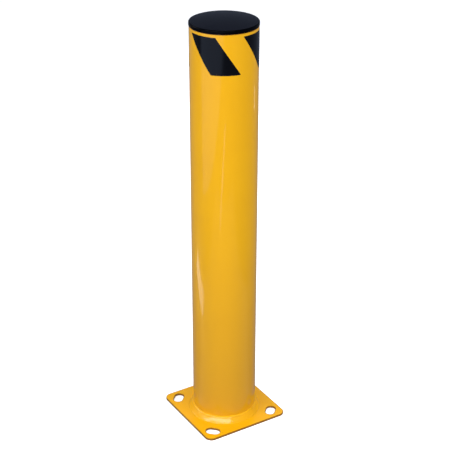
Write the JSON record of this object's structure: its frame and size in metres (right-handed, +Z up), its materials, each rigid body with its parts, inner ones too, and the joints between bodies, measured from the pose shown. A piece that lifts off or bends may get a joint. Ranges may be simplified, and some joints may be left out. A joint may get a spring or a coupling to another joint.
{
  "type": "safety bollard",
  "caption": "Round steel safety post welded to a square slotted base plate, with a plug-in end cap and slanted warning stripes of tape.",
  "frame": {"origin": "centre of the base plate's underside, on the floor", "axes": "+Z up the post; X and Y along the sides of the base plate"},
  "size_m": [0.2032, 0.2032, 0.9144],
  "materials": {
    "yellow_coat": "glossy powder coat",
    "black_plastic": "satin",
    "black_tape": "gloss"
  },
  "bodies": {
    "post": {"base_plate": "yellow_coat", "post_tube": "yellow_coat", "base_weld": "yellow_coat", "stripe_front": "black_tape", "stripe_right": "black_tape", "stripe_back": "black_tape", "stripe_left": "black_tape"},
    "cap": {"end_cap": "black_plastic"}
  },
  "joints": [
    {"name": "cap_lift", "type": "slide", "parent": "post", "child": "cap", "axis": [0, 0, 1], "range_m": [0, 0.06]}
  ]
}
